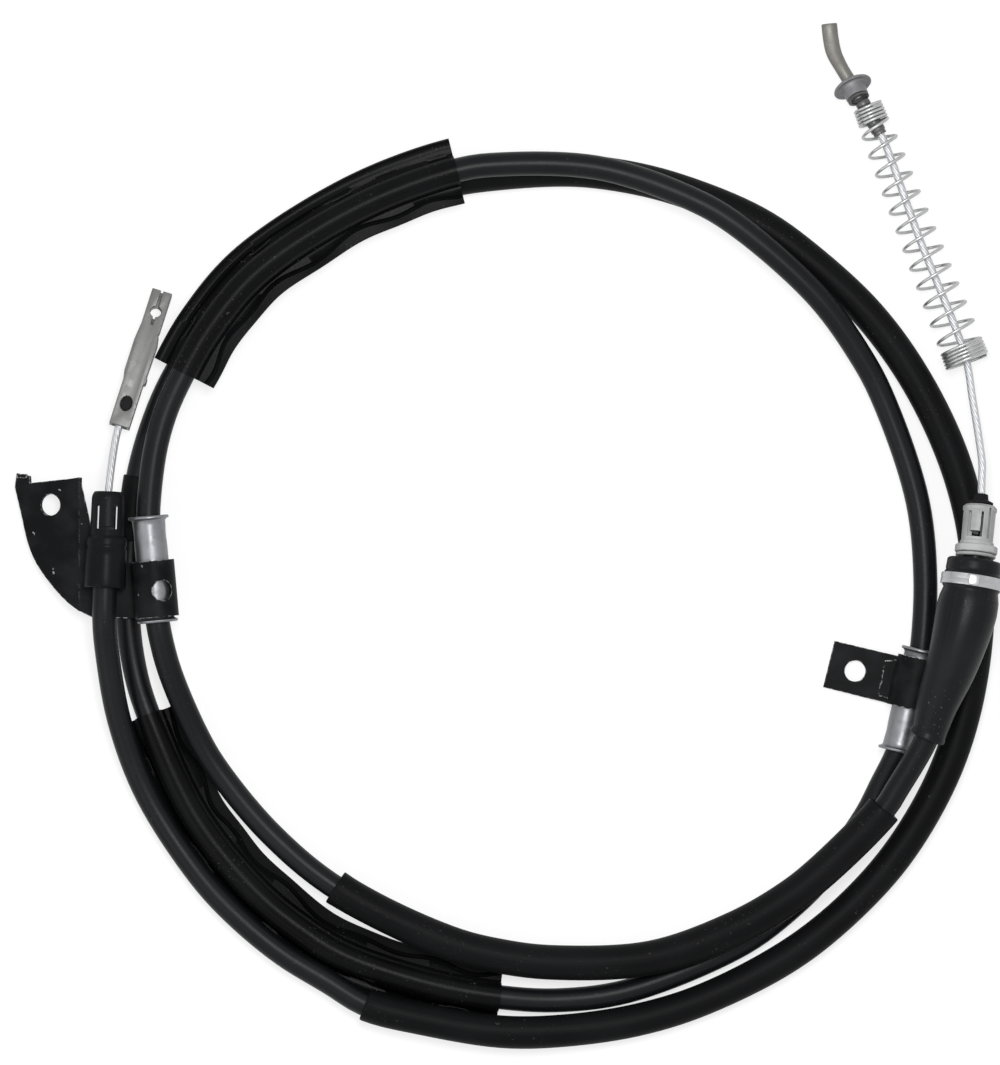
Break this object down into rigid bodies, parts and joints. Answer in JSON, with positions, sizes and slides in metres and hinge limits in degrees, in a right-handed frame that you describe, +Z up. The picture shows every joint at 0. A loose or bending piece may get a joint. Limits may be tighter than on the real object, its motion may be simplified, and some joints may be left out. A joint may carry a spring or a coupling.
{
  "type": "parking brake cable",
  "caption": "Coiled parking brake cable: a jacketed conduit with guards, sleeves and brackets, snap fittings, a spring-loaded rear end and a folded front terminal.",
  "frame": {"origin": "centre of the coil's bounding box, on the surface that it lies on", "axes": "+Z up, away from the surface; +X to the right and +Y to the top of the coil seen from above"},
  "size_m": [0.4228, 0.4393, 0.0425],
  "materials": {
    "conduit_jacket": "satin black extruded jacket",
    "steel_strand": "coated wire strand",
    "black_rubber": "matte black moulded rubber",
    "black_vinyl": "glossy black vinyl",
    "bright_zinc": "bright zinc plate",
    "black_paint": "worn black paint on steel",
    "grey_nylon": "warm light grey moulded nylon",
    "black_nylon": "satin black moulded nylon",
    "cast_steel": "dull warm grey plated steel",
    "dark_steel": "dark oiled steel"
  },
  "bodies": {
    "coil": {"conduit": "conduit_jacket", "inner_cable": "steel_strand", "lower_sleeve": "black_rubber", "outer_sleeve": "black_rubber", "short_sleeve": "black_rubber", "boot": "black_rubber", "clamp_band": "bright_zinc", "left_ferrule": "bright_zinc", "right_ferrule": "bright_zinc", "left_bracket": "black_paint", "right_bracket": "black_paint", "upper_guard": "black_vinyl", "lower_guard": "black_vinyl", "rear_fitting": "grey_nylon", "rear_ring": "grey_nylon", "rubber_tip": "black_rubber", "front_fitting": "black_nylon"},
    "rear_end": {"rear_strand": "steel_strand", "rear_end_fitting": "cast_steel", "flange_collar": "cast_steel", "flange_ring": "dark_steel", "crimp_barrel": "dark_steel", "return_spring": "bright_zinc"},
    "front_end": {"front_strand": "steel_strand", "front_terminal": "bright_zinc", "terminal_plug": "black_rubber"}
  },
  "joints": [
    {"name": "rear_slide", "type": "slide", "parent": "coil", "child": "rear_end", "axis": [-0.03, -0.9898, 0.139], "range_m": [0, 0.012]},
    {"name": "front_slide", "type": "slide", "parent": "coil", "child": "front_end", "axis": [0.037, 0.9993, 0], "range_m": [0, 0.012]}
  ],
  "couplings": [
    {"joint": "front_slide", "follows": "rear_slide", "ratio": 1}
  ]
}
